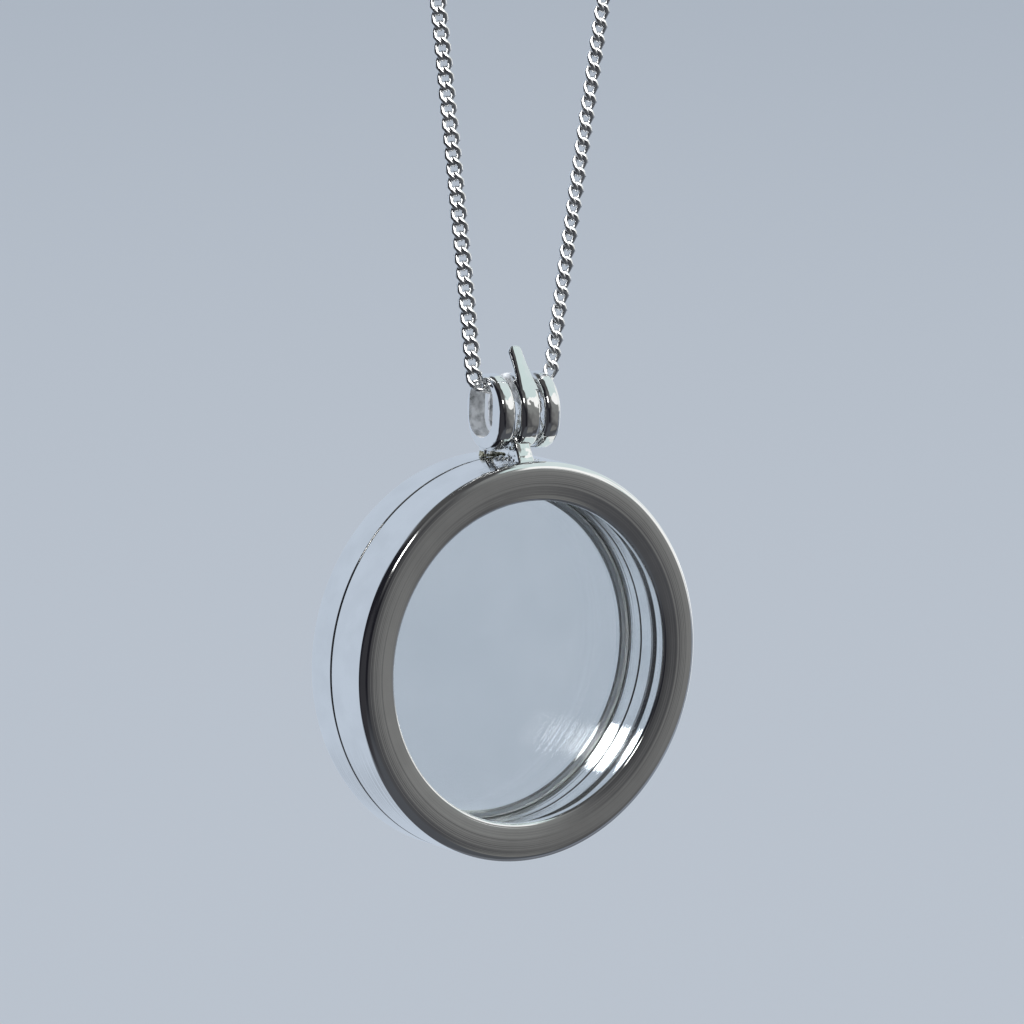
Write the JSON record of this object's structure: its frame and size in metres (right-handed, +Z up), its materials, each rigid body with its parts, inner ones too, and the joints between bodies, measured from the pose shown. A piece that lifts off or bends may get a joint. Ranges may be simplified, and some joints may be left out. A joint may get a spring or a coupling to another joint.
{
  "type": "glass locket necklace",
  "caption": "Round silver locket with a clear glass on each side and a looped bail with a thumb tab, hanging on a whole fine curb chain with a barrel clasp at the nape",
  "frame": {"origin": "the underside of the barrel clasp, where the chain lies on the nape of the neck", "axes": "+Z up along the hanging necklace, +X across the front of the locket, the front glass faces -Y"},
  "size_m": [0.0578, 0.0072, 0.2404],
  "materials": {
    "silver": "polished silver",
    "chain_silver": "polished silver, diamond-cut curb links",
    "glass": "clear flat glass"
  },
  "bodies": {
    "necklace": {"chain": "chain_silver", "clasp": "silver"},
    "pendant": {"front_half": "silver", "back_half": "silver", "front_glass": "glass", "back_glass": "glass"}
  },
  "joints": [
    {"name": "pendant_swing", "type": "hinge", "parent": "necklace", "child": "pendant", "pos_m": [0, 0, -0.2028], "axis": [1, 0, 0], "range_deg": [-90, 90]}
  ]
}
